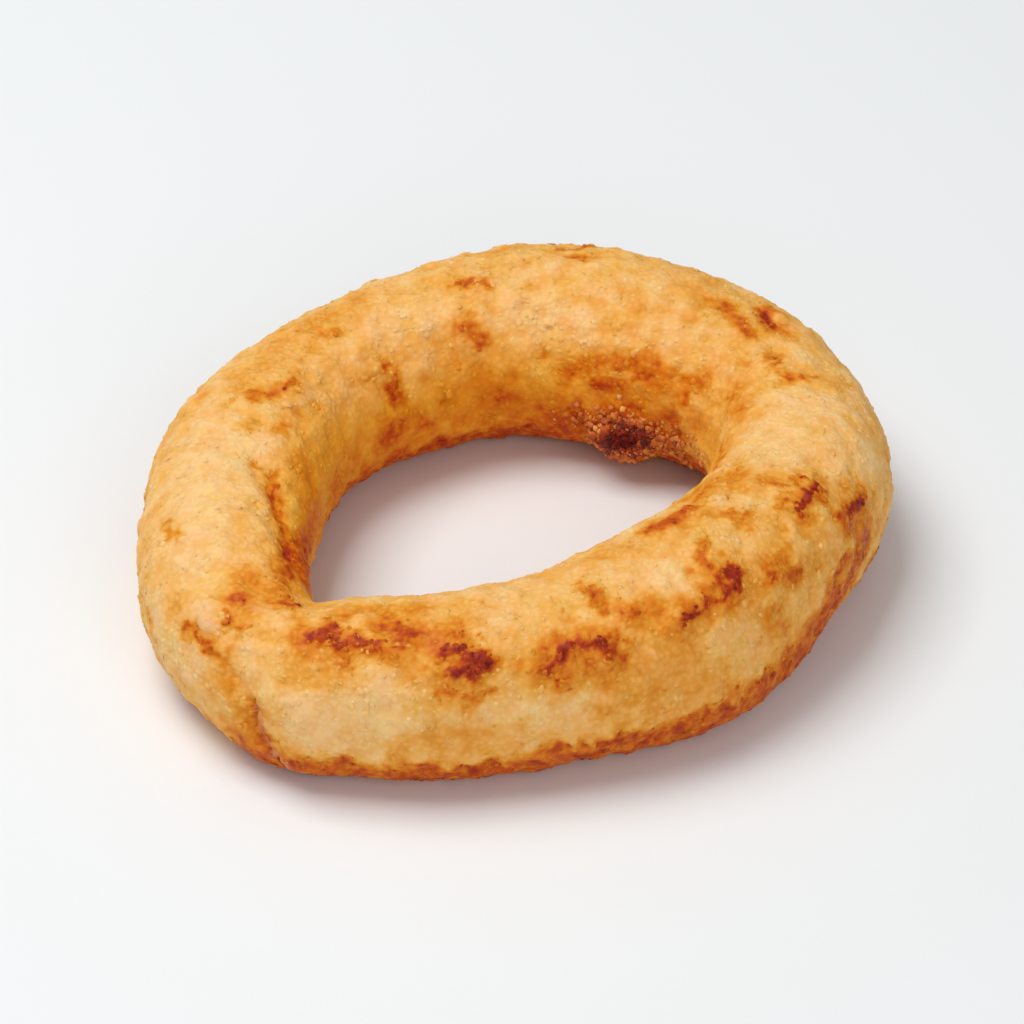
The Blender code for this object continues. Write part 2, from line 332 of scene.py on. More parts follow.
class StageLook(bpy.types.PropertyGroup):
    """Floor, light and camera."""

    floor: colour("Floor", "White laminated board", "#F2F5F6")
    window: FloatProperty(
        name="Window light", description="Power of the big soft light",
        default=3.78, min=0.0, max=50.0, unit="POWER",
    )
    card: FloatProperty(
        name="White card", description="Power of the light thrown back by a card in front",
        default=1.85, min=0.0, max=50.0, unit="POWER",
    )
    room: FloatProperty(
        name="Room light", description="Strength of the even light from all round",
        default=0.32, min=0.0, max=5.0,
    )
    camera_distance: FloatProperty(
        name="Camera distance", description="From the camera to the ring",
        default=0.55, min=0.1, max=3.0, unit="LENGTH",
    )
    camera_height: FloatProperty(
        name="Camera height angle", description="How far above level the camera looks down from",
        default=math.radians(VIEW_HEIGHT), min=0.0, max=math.radians(90), unit="ROTATION",
    )


def swells(points, wavelength, seed, waves=36):
    """Smooth random swells of unit height and about that wavelength, at the points."""
    dice = np.random.default_rng(seed)
    heading = dice.normal(size=(waves, 3))
    heading /= np.linalg.norm(heading, axis=1)[:, None]
    heading *= 2 * math.pi / (wavelength * dice.uniform(0.75, 1.35, waves))[:, None]
    phase = dice.uniform(0, 2 * math.pi, waves)
    return np.sin(points @ heading.T + phase).sum(-1) / math.sqrt(waves / 2)


def eased(value, low, high):
    """0 below low, 1 above high, and a smooth rise between."""
    t = np.clip((value - low) / (high - low), 0.0, 1.0)
    return t * t * (3 - 2 * t)


def smoothed(values, passes, axis=0):
    """Values round a closed loop, each softened by its neighbours."""
    for _ in range(passes):
        values = (np.roll(values, 1, axis) + 2 * values + np.roll(values, -1, axis)) / 4
    return values


def solid_surface():
    """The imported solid's surface, in millimetres, to cast rays at."""
    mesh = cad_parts[SOLID].data
    corners = [v.co / MM for v in mesh.vertices]
    return BVHTree.FromPolygons(corners, [tuple(p.vertices) for p in mesh.polygons])


def reach(surface, start, way):
    """How far it is from a point to the surface."""
    distance = surface.ray_cast(start, way)[3]
    if distance is None:
        raise RuntimeError("The onion ring solid has no surface where the crust should lie.")
    return distance


def spine_radius(surface, bearings):
    """The middle of the crust tube at each bearing, between the hole's wall and the outer one."""
    middle = Vector((0, 0, SPINE_HEIGHT))
    well_outside = 90
    radii = []
    for bearing in bearings:
        way = Vector((math.cos(bearing), math.sin(bearing), 0))
        hole = reach(surface, middle, way)
        outer = well_outside - reach(surface, middle + way * well_outside, -way)
        radii.append((hole + outer) / 2)
    return smoothed(np.array(radii), passes=20)


def smooth_skin():
    """The solid's surface as a fine, even grid, first round the ring and then round the tube."""
    surface = solid_surface()
    bearings = np.arange(ROUND_RING) * 2 * math.pi / ROUND_RING
    turns = np.arange(ROUND_TUBE) * 2 * math.pi / ROUND_TUBE
    radii = spine_radius(surface, bearings)
    far = np.empty((ROUND_RING, ROUND_TUBE))
    for i, bearing in enumerate(bearings):
        out = Vector((math.cos(bearing), math.sin(bearing), 0))
        start = out * radii[i] + Vector((0, 0, SPINE_HEIGHT))
        for j, turn in enumerate(turns):
            far[i, j] = reach(surface, start, out * math.cos(turn) + Vector((0, 0, math.sin(turn))))
    far = smoothed(smoothed(far, passes=9), passes=7, axis=1)
    across = radii[:, None] + far * np.cos(turns)
    height = SPINE_HEIGHT + far * np.sin(turns)
    return np.stack([across * np.cos(bearings)[:, None], across * np.sin(bearings)[:, None], height], -1)


def facing(points):
    """The way that the crust faces at each point of its grid, and the area that the point stands for."""
    along = np.roll(points, -1, 0) - np.roll(points, 1, 0)
    round_tube = np.roll(points, -1, 1) - np.roll(points, 1, 1)
    normal = np.cross(along, round_tube)
    size = np.linalg.norm(normal, axis=-1)
    return normal / size[..., None], size / 4


def spot(points, place):
    """The point of the grid nearest to a bearing and turn."""
    i = round(place[0] / 360 * ROUND_RING) % ROUND_RING
    j = round(place[1] / 360 * ROUND_TUBE) % ROUND_TUBE
    return points[i, j]


def line_through(points, places):
    """The line over the crust that follows these bearings and turns."""
    return np.array([spot(points, place) for place in places])


def distance_to_line(points, line):
    """How far each point is from a line through several places, or from its only place."""
    nearest = np.full(points.shape[:-1], np.inf)
    for start, end in zip(line, line[1:] if len(line) > 1 else line):
        along = end - start
        t = np.clip((points - start) @ along / max(along @ along, 1e-9), 0, 1)
        nearest = np.minimum(nearest, np.linalg.norm(points - start - t[..., None] * along, axis=-1))
    return nearest


def ragged(points, coarse, fine, seed):
    """The points moved about a little, so that what is drawn by distance gets a ragged edge."""
    moved = points.copy()
    for axis in range(3):
        moved[..., axis] += coarse * swells(points, 2.0, seed + axis)
        moved[..., axis] += fine * swells(points, 0.9, seed + 10 + axis)
    return moved


def unseen_browning(points, normals):
    """More browned places of the same kind, on the sides that the known ones don't reach."""
    dice = np.random.default_rng(41)
    toward = np.array([0, -math.cos(math.radians(VIEW_HEIGHT)), math.sin(math.radians(VIEW_HEIGHT))])
    marks = []
    while len(marks) < UNSEEN_MARKS:
        bearing, turn = dice.uniform(0, 360), dice.uniform(0, 360)
        reached = spot(normals, (bearing, turn)) @ toward > -0.3
        underneath = 244 < turn < 296
        if reached or underneath:
            continue
        line = [(bearing, turn)]
        for _ in range(dice.integers(0, 4)):
            bearing += dice.uniform(-2.2, 2.2)
            turn += dice.uniform(-8, 8)
            line.append((bearing, turn))
        marks.append((dice.uniform(0.42, 0.86), dice.uniform(0.3, 0.7), line))
    return marks


def browned_marks(points, normals, base):
    """How brown the crust is with its browned places, over the plain batter's browning."""
    rough = ragged(points, coarse=0.24, fine=0.13, seed=100)
    lace = 0.5 + 0.5 * np.tanh(1.1 * swells(points, 1.5, seed=120) + 0.5 * swells(points, 0.9, seed=121))
    patchy = eased(swells(points, 2.6, seed=122), -1.3, 0.8)
    deepest = np.zeros(base.shape)
    for strength, half_width, places in list(BROWNED_PLACES) + unseen_browning(points, normals):
        line = line_through(points, places)
        # A mark fades out well within 9 mm of its line
        near = np.linalg.norm(points - line.mean(0), axis=-1) < 9 + np.ptp(line, axis=0).max()
        away = distance_to_line(rough[near], line)
        # Its core is lacy with a firm edge, and its halo is patchy, and wider round the darker marks
        core = np.exp(-((away / (1.6 * half_width)) ** 2.6)) * (0.86 + 0.14 * lace[near])
        spread = 1.6 * half_width + 0.25 + 0.95 * eased(strength, 0.58, 0.8)
        halo = np.exp(-((away / spread) ** 2)) * (0.45 + 0.55 * patchy[near])
        # Only a mark given as burnt gets any darker than 0.90
        deep = strength if strength > 0.95 else min(strength + 0.05, 0.90)
        rise = np.maximum((deep - base[near]) * core, (min(strength, 0.60) - base[near]) * halo)
        deepest[near] = np.maximum(deepest[near], rise)
    return base + deepest


def toned_places(points, browning):
    """The browning with the places that stayed cream and those that went golden."""
    rough = ragged(points, coarse=0.18, fine=0.12, seed=140)
    for tone, half_width, softness, places in TONED_PLACES:
        away = distance_to_line(rough, line_through(points, places)) / half_width
        inside = 0.8 * (1 - eased(away, 1 - softness, 1 + softness))
        browning = browning * (1 - inside) + tone * inside
    return browning


def blisters(points):
    """How pink the skin of the blisters is at each point, and how high they stand."""
    rough = ragged(points, coarse=0.25, fine=0.15, seed=145)
    pink = np.zeros(points.shape[:-1])
    height = np.zeros(points.shape[:-1])
    for strength, rise, half_width, places in BLISTERS:
        away = distance_to_line(rough, line_through(points, places)) / half_width
        pink = np.maximum(pink, strength * (1 - eased(away, 0.6, 1.3)))
        height = np.maximum(height, rise * (1 - eased(away, 0.55, 1.25)))
    return pink, height


def turned_at(points):
    """The bearing of each point round the ring and its turn round the tube, in degrees."""
    bearing = np.degrees(np.arctan2(points[..., 1], points[..., 0])) % 360
    across = np.hypot(points[..., 0], points[..., 1])
    inwards = across - across.mean(1, keepdims=True)
    return bearing, np.degrees(np.arctan2(points[..., 2] - SPINE_HEIGHT, inwards)) % 360


def on_side(bearing, middle, low, high):
    """1 round the middle bearing and 0 away from it: low and high are cosines of how far off it is."""
    return eased(np.cos(np.radians(bearing - middle)), low, high)


def painted_bounce(points):
    """How much painted warm bounce light the batter gets: inside the hole, most on its left wall."""
    bearing, turn = turned_at(points)
    left = on_side(bearing, 198, 0.6, 0.95)
    right = on_side(bearing, 35, 0.75, 0.97)
    return eased(turn + 16 * left, 128, 174) * (1 - eased(turn, 262, 285)) * (1 - 0.3 * right)


def plain_browning(points):
    """How brown the batter is before its marks: deeper along the bottom edge it lay on and inside the hole,
    partly as painted shade and painted warm bounce light.
    """
    z = points[..., 2]
    bearing, turn = turned_at(points)
    brown = bpy.context.scene.onion_ring_crust.browning + 0.035 * swells(points, 9.0, seed=150)
    brown += 0.035 * swells(points, 3.4, seed=151)
    # Painted warm bounce light: a little more browning inside the hole, where the golden tint goes
    brown += 0.07 * painted_bounce(points)
    # The back is browner on its wall inside the hole, partly browning and partly painted shade and warm
    # bounce light, and a little on its crown
    at_back = on_side(bearing, 110, -0.2, 0.6)
    brown += 0.14 * at_back * eased(turn, 150, 198) * (1 - eased(turn, 255, 280))
    brown += 0.03 * at_back * eased(turn, 40, 80) * (1 - eased(turn, 130, 160))
    # The outer face is browner at the front right, and the crown paler at the left
    outer_face = 1 - eased(np.minimum(turn, 360 - turn), 35, 65)
    brown += 0.09 * outer_face * on_side(bearing, 316, 0.5, 0.95)
    left_crown = on_side(bearing, 190, 0.5, 0.9) * eased(turn, 50, 90)
    brown -= 0.03 * left_crown * (1 - eased(turn, 110, 130))
    # The rim that it lay on is amber up to about 5 mm, higher at the front and hardly at all at the left:
    # partly browned batter and partly painted shade where it meets the floor
    edge = 5.0 + 0.5 * swells(points, 5.0, seed=152) + 0.3 * swells(points, 1.8, seed=153)
    edge += 0.6 * on_side(bearing, 270, 0.3, 0.9)
    edge += 1.2 * on_side(bearing, 332, 0.88, 0.99)
    edge += 1.6 * on_side(bearing, 298, 0.90, 0.995)
    amber_rim_and_shade = 1 - eased(z, edge - 1.2, edge + 1.0)
    amber_rim_and_shade *= 1 - 0.85 * on_side(bearing, 203, 0.86, 0.97)
    brown = brown * (1 - amber_rim_and_shade) + (0.62 + 0.04 * swells(points, 2.4, seed=154)) * amber_rim_and_shade
    underneath = 1 - eased(z, 0.05, 0.7)
    return brown - underneath * (0.18 + 0.07 * swells(points, 4.0, seed=155))


def pits_and_bumps(points):
    """Small pits where bubbles burst and low bumps where they didn't, as a height at each point."""
    dice = np.random.default_rng(57)
    height = np.zeros(points.shape[:-1])
    for k in range(PITS + BUMPS):
        centre = points[dice.integers(ROUND_RING), dice.integers(ROUND_TUBE)]
        if k < PITS:
            radius, lift = dice.uniform(0.35, 0.85), -dice.uniform(0.04, 0.13)
        else:
            radius, lift = dice.uniform(0.6, 1.6), dice.uniform(0.08, 0.24)
        near = np.abs(points - centre).max(-1) < radius * 2.2
        away = np.linalg.norm(points[near] - centre, axis=-1) / radius
        height[near] += lift * np.exp(-(away**2) * 1.6)
    return height


def crust_relief(points, browning):
    """How far the crust stands off the smooth skin at each point."""
    look = bpy.context.scene.onion_ring_crust
    height = look.swells / MM * swells(points, 3.0, seed=160)
    height += look.grain / MM * 0.85 * swells(points, 1.8, seed=161)
    height += pits_and_bumps(points)
    # Browned places stand up as crags, but not on the rim that the ring lay on
    crag = eased(browning, 0.5, 0.85) * eased(points[..., 2], 4.0, 7.0)
    height += crag * look.crags / MM * (0.6 + 0.5 * swells(points, 1.5, seed=163))
    rough = ragged(points, coarse=0.15, fine=0.1, seed=170)
    for depth, half_width, places in CREASES:
        away = distance_to_line(rough, line_through(points, places)) / half_width
        height -= depth * np.exp(-(away**2))
    return np.clip(height + blisters(points)[1], *RELIEF_LIMITS)


def tube_faces():
    """The crust grid's faces, closed round the ring and round the tube, facing out."""
    i, j = np.meshgrid(np.arange(ROUND_RING), np.arange(ROUND_TUBE), indexing="ij")
    i_next, j_next = (i + 1) % ROUND_RING, (j + 1) % ROUND_TUBE
    corners = [(i, j), (i_next, j), (i_next, j_next), (i, j_next)]
    return np.stack([a * ROUND_TUBE + b for a, b in corners], -1).reshape(-1, 4)


def unwrap_crust(mesh):
    """Lays the crust out as two flat strips, half the ring in each, as a map for its colours."""
    half = ROUND_RING // 2
    i, j = np.meshgrid(np.arange(ROUND_RING), np.arange(ROUND_TUBE), indexing="ij")
    step = np.stack([i % half, i % half + 1, i % half + 1, i % half], -1) / half
    up = np.stack([j, j, j + 1, j + 1], -1) / ROUND_TUBE
    strip = (i // half)[..., None] * 0.5
    margin = 0.01
    places = np.stack([margin + (1 - 2 * margin) * step, strip + margin + (0.5 - 2 * margin) * up], -1)
    layer = mesh.uv_layers.new(name="OFBake")
    layer.data.foreach_set("uv", places.astype(np.float32).ravel())


def shaped(name, corners, faces, shades, material):
    """A piece of the ring from its corners in millimetres, with its shades, set on the ring."""
    mesh = bpy.data.meshes.new(name)
    mesh.from_pydata((corners * MM).tolist(), [], faces.tolist())
    mesh.shade_smooth()
    for title, values in zip(SHADES, shades):
        shade = mesh.attributes.new(title, "FLOAT", "POINT")
        shade.data.foreach_set("value", np.clip(values, 0, 1).astype(np.float32))
    mesh.materials.append(material)
    piece = bpy.data.objects.new(name, mesh)
    bpy.context.scene.collection.objects.link(piece)
    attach(piece, BODY)
    return piece


def add(tree, kind, sockets=None, **settings):
    """Adds a node, with its settings and the values or links of its sockets."""
    node = tree.nodes.new(kind)
    for name, value in settings.items():
        setattr(node, name, value)
    for name, value in (sockets or {}).items():
        if isinstance(value, bpy.types.NodeSocket):
            tree.links.new(value, node.inputs[name])
        else:
            node.inputs[name].default_value = value
    return node


def deep_fried_batter(name, gloss, bump, glow):
    """Deep-fried flour batter: dry and matt where it stayed pale, and darker, smoother, oily and glossy where
    its sugars browned. The eye gets a soft mottle of cream and honey 1 to 3 mm wide, a sandy grain under half
    a millimetre with painted shade in the gaps between its grains, tiny darker pores, a golden tint of
    painted warm bounce light inside the hole, and light that goes a little way into the crust. Gloss is its
    oily film, bump the height of its finest relief in mm, and glow how much of that light there is."""
    material = bpy.data.materials.new(name)
    material.use_nodes = True
    tree = material.node_tree
    tree.nodes.clear()
    place = add(tree, "ShaderNodeTexCoord").outputs["Object"]
    brown = add(tree, "ShaderNodeAttribute", attribute_name="browning").outputs["Fac"]
    # Mottling 2.2 mm across, grains 0.7 mm across and lace 1.1 mm across
    mottle = add(
        tree, "ShaderNodeTexNoise", {"Vector": place, "Scale": 1 / (2.2 * MM), "Detail": 2.5}
    ).outputs["Fac"]
    grains = rounded_grains(tree, place)
    lace = add(
        tree, "ShaderNodeTexNoise", {"Vector": place, "Scale": 1 / (1.1 * MM), "Detail": 3.0}
    ).outputs["Fac"]
    # The mottling is weaker where the batter is browned
    mottling = add(
        tree, "ShaderNodeMapRange",
        {"Value": brown, "From Min": 0.35, "From Max": 0.65, "To Min": 0.30, "To Max": 0.18},
    ).outputs[0]
    mottle = add(tree, "ShaderNodeMath", {0: mottle, 1: 0.37}, operation="SUBTRACT").outputs[0]
    tone = add(tree, "ShaderNodeMath", {0: mottle, 1: mottling}, operation="MULTIPLY").outputs[0]
    # Painted shade: the gaps between grains are drawn browner than their tops
    tone = add(tree, "ShaderNodeMath", {0: grains, 1: -0.09, 2: tone}, operation="MULTIPLY_ADD").outputs[0]
    # The edge of a browned place is broken up most where it is half browned
    halfway = add(tree, "ShaderNodeMapRange", {"Value": brown, "From Min": 0.22, "From Max": 0.6}).outputs[0]
    broken = add(tree, "ShaderNodeMath", {0: lace, 1: 0.5}, operation="SUBTRACT").outputs[0]
    broken = add(tree, "ShaderNodeMath", {0: broken, 1: halfway}, operation="MULTIPLY").outputs[0]
    tone = add(tree, "ShaderNodeMath", {0: broken, 1: 0.45, 2: tone}, operation="MULTIPLY_ADD").outputs[0]
    tone = add(tree, "ShaderNodeMath", {0: brown, 1: tone}, operation="ADD").outputs[0]
    tone = with_pores(tree, place, halfway, tone)
    # Oil leaves the browned batter smoother
    rough = add(
        tree, "ShaderNodeMapRange",
        {"Value": tone, "From Min": 0.15, "From Max": 0.8, "To Min": 0.62, "To Max": 0.46},
    ).outputs[0]
    shader = add(
        tree, "ShaderNodeBsdfPrincipled",
        {
            "Base Color": batter_colour(tree, place, tone),
            "Roughness": rough, "IOR": 1.45, "Specular IOR Level": 0.13,
            "Subsurface Weight": glow, "Subsurface Radius": (1.0, 0.42, 0.14), "Subsurface Scale": 1.0 * MM,
            "Coat Weight": gloss, "Coat Roughness": 0.34, "Coat IOR": 1.47,
            "Normal": batter_bump(tree, place, grains, bump),
        },
        subsurface_method="RANDOM_WALK",
    )
    add(tree, "ShaderNodeOutputMaterial", {"Surface": shader.outputs[0]})
    return material


def with_pores(tree, place, browned, tone):
    """The browning with tiny browner pores where the batter stayed pale, 2 to 3 mm apart."""
    # Cells 1.6 mm across, of which about half have a pore
    cell = add(tree, "ShaderNodeTexVoronoi", {"Vector": place, "Scale": 1 / (1.6 * MM), "Randomness": 1.0})
    away = cell.outputs["Distance"]
    dot = add(
        tree, "ShaderNodeMapRange",
        {"Value": away, "From Min": 0.04, "From Max": 0.22, "To Min": 0.09, "To Max": 0.0},
    ).outputs[0]
    pale = add(tree, "ShaderNodeMath", {0: 1.0, 1: browned}, operation="SUBTRACT").outputs[0]
    dot = add(tree, "ShaderNodeMath", {0: dot, 1: pale}, operation="MULTIPLY").outputs[0]
    some = add(
        tree, "ShaderNodeMapRange",
        {"Value": add(tree, "ShaderNodeSeparateColor", {0: cell.outputs["Color"]}).outputs[0],
         "From Min": 0.42, "From Max": 0.62},
    ).outputs[0]
    return add(tree, "ShaderNodeMath", {0: dot, 1: some, 2: tone}, operation="MULTIPLY_ADD").outputs[0]


def batter_colour(tree, place, tone):
    """Cream to burnt by the browning, with a faint drift between peach and straw, and a golden tint of
    painted warm bounce light inside the hole.
    """
    look = bpy.context.scene.onion_ring_crust
    steps = (
        (0.00, look.cream), (0.22, look.honey), (0.38, look.golden), (0.50, look.amber),
        (0.62, look.orange), (0.74, look.russet), (0.85, look.mahogany), (0.96, look.burnt),
    )
    ramp = add(tree, "ShaderNodeValToRGB", {"Fac": tone})
    stops = ramp.color_ramp.elements
    stops[0].position, stops[0].color = steps[0]
    stops[1].position, stops[1].color = steps[-1]
    for position, shade in steps[1:-1]:
        stops.new(position).color = shade
    # Peach and straw patches 3.2 mm across, in mixes whose sockets 6 and 7 are the two colours
    drift = add(
        tree, "ShaderNodeTexNoise", {"Vector": place, "Scale": 1 / (3.2 * MM), "Detail": 2.0}
    ).outputs["Fac"]
    drift = add(tree, "ShaderNodeMapRange", {"Value": drift, "From Min": 0.35, "From Max": 0.65}).outputs[0]
    tint = add(
        tree, "ShaderNodeMix", {0: drift, 6: linear("#FFF2E6"), 7: linear("#FFF8E0")}, data_type="RGBA"
    ).outputs[2]
    # Painted warm bounce light: the batter inside the hole is tinted golden
    warm_bounce = add(tree, "ShaderNodeAttribute", attribute_name="warm_bounce").outputs["Fac"]
    tint = add(tree, "ShaderNodeMix", {0: warm_bounce, 6: tint, 7: look.painted_bounce}, data_type="RGBA").outputs[2]
    tinted = add(
        tree, "ShaderNodeMix", {0: 1.0, 6: ramp.outputs["Color"], 7: tint},
        data_type="RGBA", blend_type="MULTIPLY",
    ).outputs[2]
    pink = add(tree, "ShaderNodeAttribute", attribute_name="blush").outputs["Fac"]
    return add(tree, "ShaderNodeMix", {0: pink, 6: tinted, 7: look.blush}, data_type="RGBA").outputs[2]


def rounded_grains(tree, place):
    """Rounded grains of batter that touch each other: 1 on top of a grain and 0 in the gaps."""
    # Grains 0.7 mm across, as the real ones are too fine to show, moved by up to 0.5 mm every 1.6 mm
    drift = add(
        tree, "ShaderNodeTexNoise", {"Vector": place, "Scale": 1 / (1.6 * MM), "Detail": 1.0}
    ).outputs["Color"]
    moved = add(
        tree, "ShaderNodeVectorMath", {0: drift, 1: (0.5 * MM,) * 3, 2: place}, operation="MULTIPLY_ADD"
    ).outputs[0]
    cell = add(tree, "ShaderNodeTexVoronoi", {"Vector": moved, "Scale": 1 / (0.7 * MM)}).outputs["Distance"]
    return add(
        tree, "ShaderNodeMapRange",
        {"Value": cell, "From Min": 0.1, "From Max": 0.85, "To Min": 1.0, "To Max": 0.0},
        interpolation_type="SMOOTHSTEP",
    ).outputs[0]


def batter_bump(tree, place, grains, bump):
    """The finest relief of the batter: grit 0.35 mm across on its rounded grains."""
    grit = add(
        tree, "ShaderNodeTexNoise", {"Vector": place, "Scale": 1 / (0.35 * MM), "Detail": 1.0}
    ).outputs["Fac"]
    height = add(tree, "ShaderNodeMath", {0: grit, 1: 0.6, 2: grains}, operation="MULTIPLY_ADD").outputs[0]
    return add(
        tree, "ShaderNodeBump", {"Height": height, "Distance": bump * MM, "Strength": 1.0}
    ).outputs["Normal"]


class ONIONRING_OT_crust(bpy.types.Operator):
    """Lays the fried batter over the onion ring solid"""

    bl_idname = "onion_ring.crust"
    bl_label = "Fried Crust"

    def execute(self, context):
        skin = smooth_skin()
        normals, _ = facing(skin)
        browning = browned_marks(skin, normals, toned_places(skin, plain_browning(skin)))
        relief = crust_relief(skin, browning)
        # Painted shade: where the batter is pale, its hollows are drawn a little browner than its tops
        browning = browning - 0.2 * np.clip(relief, -0.25, 0.25) * (1 - eased(browning, 0.35, 0.6))
        points = skin + normals * relief[..., None]
        points[..., 2] = np.maximum(points[..., 2], 0.0)
        material = deep_fried_batter("deep_fried_batter", gloss=0.04, bump=0.07, glow=0.5)
        shades = browning.ravel(), blisters(skin)[0].ravel(), painted_bounce(skin).ravel()
        crust = shaped("crust", points.reshape(-1, 3), tube_faces(), shades, material)
        unwrap_crust(crust.data)
        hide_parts(SOLID)
        return {"FINISHED"}


def finished_crust():
    """The made crust's points, the way each faces, the area it stands for, and its shades."""
    crust = bpy.data.objects.get("crust")
    if crust is None:
        raise RuntimeError("Make the crust first: its crumbs lie on it.")
    points = np.empty(len(crust.data.vertices) * 3, np.float32)
    crust.data.vertices.foreach_get("co", points)
    shades = np.empty((len(SHADES), len(crust.data.vertices)), np.float32)
    for title, values in zip(SHADES, shades):
        crust.data.attributes[title].data.foreach_get("value", values)
    points = points.reshape(ROUND_RING, ROUND_TUBE, 3).astype(float) / MM
    return points, *facing(points), *shades.reshape(-1, ROUND_RING, ROUND_TUBE).astype(float)


def scattered(points, area, weight, count, dice):
    """Places picked at random on the crust, more where the weight is more, and their grid cells."""
    chance = (area * weight * (points[..., 2] > CRUMBS_ABOVE)).ravel()
    cells = dice.choice(chance.size, count, p=chance / chance.sum())
    i, j = np.unravel_index(cells, area.shape)
    i_next, j_next = (i + 1) % ROUND_RING, (j + 1) % ROUND_TUBE
    u, v = dice.random((2, count, 1))
    near_side = points[i, j] * (1 - v) + points[i, j_next] * v
    far_side = points[i_next, j] * (1 - v) + points[i_next, j_next] * v
    return near_side * (1 - u) + far_side * u, i, j


def ball(fineness):
    """A round crumb's corners and faces before it is made uneven."""
    shape = bmesh.new()
    bmesh.ops.create_icosphere(shape, subdivisions=fineness, radius=1.0)
    corners = np.array([v.co[:] for v in shape.verts])
    faces = np.array([[v.index for v in f.verts] for f in shape.faces])
    shape.free()
    return corners, faces


def low_grain(sides=6):
    """A low grain's corners and faces, with a skirt that runs down into the crust."""
    corners = [(0.0, 0.0, 1.0)]
    # Three rings of corners below the top: how far out and how high each is
    for k, (across, height) in enumerate(((0.5, 0.8), (0.95, 0.25), (1.4, -0.3))):
        for angle in (np.arange(sides) + 0.5 * k) * 2 * math.pi / sides:
            corners.append((across * math.cos(angle), across * math.sin(angle), height))
    faces = [(0, 1 + n, 1 + (n + 1) % sides) for n in range(sides)]
    for inner in (1, 1 + sides):
        for n in range(sides):
            here, there = inner + n, inner + (n + 1) % sides
            faces += [(here, here + sides, there), (there, here + sides, there + sides)]
    return np.array(corners), np.array(faces)


def crumb_sizes(usual, count, dice, spread, least, most, shift=0.0):
    """Random widths of crumbs in millimetres, from the least to the most times the usual one."""
    return usual / MM * np.clip(dice.lognormal(shift, spread, count), least, most)


def crumbs(shape, spots, facing_ways, sizes, dice, flatness, lift=0.0, uneven=0.24):
    """Uneven crumbs of this shape and these sizes, each on the crust at its spot."""
    corners, faces = shape
    count = len(spots)
    knobs = 1 + np.clip(uneven * dice.normal(size=(count, len(corners), 1)), -0.35, 0.45)
    stretch = dice.uniform(0.75, 1.25, (count, 1, 3)) * (1, 1, flatness)
    placed = corners * knobs * stretch * (sizes / 2)[:, None, None]
    side = np.cross(facing_ways, dice.normal(size=(count, 3)))
    side /= np.linalg.norm(side, axis=1)[:, None]
    turned = np.stack([side, np.cross(facing_ways, side), facing_ways], 1)
    placed = spots[:, None, :] + placed @ turned + (facing_ways * (lift * sizes)[:, None])[:, None, :]
    placed[..., 2] = np.maximum(placed[..., 2], 0.0)
    links = faces[None] + (np.arange(count) * len(corners))[:, None, None]
    return placed.reshape(-1, 3), links.reshape(-1, 3), len(corners)


class ONIONRING_OT_fine_crumbs(bpy.types.Operator):
    """Dusts the crust with fine grains of batter"""

    bl_idname = "onion_ring.fine_crumbs"
    bl_label = "Fine Crumbs"

    def execute(self, context):
        look = context.scene.onion_ring_crumbs
        dice = np.random.default_rng(11)
        points, normals, area, browning, blush, warm_bounce = finished_crust()
        weight = (0.35 + eased(swells(points, 6.0, seed=180), -0.8, 1.4)) * (1 - eased(blush, 0.3, 0.6))
        spots, i, j = scattered(points, area, weight, look.fine_count, dice)
        sizes = crumb_sizes(look.fine_size, len(spots), dice, spread=0.32, least=0.6, most=1.9)
        corners, faces, each = crumbs(low_grain(), spots, normals[i, j], sizes, dice, flatness=0.37)
        shade = browning[i, j] + dice.normal(-0.01, 0.045, len(spots))
        material = deep_fried_batter("dry_batter_grains", gloss=0.0, bump=0.04, glow=0.0)
        # Each crumb takes the painted warm bounce light of the crust under it
        shades = np.repeat((shade, blush[i, j], warm_bounce[i, j]), each, 1)
        shaped("fine_crumbs", corners, faces, shades, material)
        return {"FINISHED"}


class ONIONRING_OT_browned_crumbs(bpy.types.Operator):
    """Adds browned grains on and round the browned places"""

    bl_idname = "onion_ring.browned_crumbs"
    bl_label = "Browned Crumbs"

    def execute(self, context):
        look = context.scene.onion_ring_crumbs
        dice = np.random.default_rng(12)
        points, normals, area, browning, blush, warm_bounce = finished_crust()
        weight = eased(browning, 0.42, 0.78) * eased(points[..., 2], 2.0, 5.0) + 0.01
        weight *= 1 - eased(blush, 0.05, 0.25)
        spots, i, j = scattered(points, area, weight, look.browned_count, dice)
        sizes = crumb_sizes(look.browned_size, len(spots), dice, spread=0.32, least=0.55, most=1.7)
        corners, faces, each = crumbs(low_grain(), spots, normals[i, j], sizes, dice, flatness=0.40)
        shade = np.minimum(browning[i, j] + dice.normal(0.0, 0.05, len(spots)), 0.86)
        material = deep_fried_batter("browned_batter_grains", gloss=0.06, bump=0.05, glow=0.0)
        # Each crumb takes the painted warm bounce light of the crust under it
        shades = np.repeat((shade, blush[i, j], warm_bounce[i, j]), each, 1)
        shaped("browned_crumbs", corners, faces, shades, material)
        return {"FINISHED"}


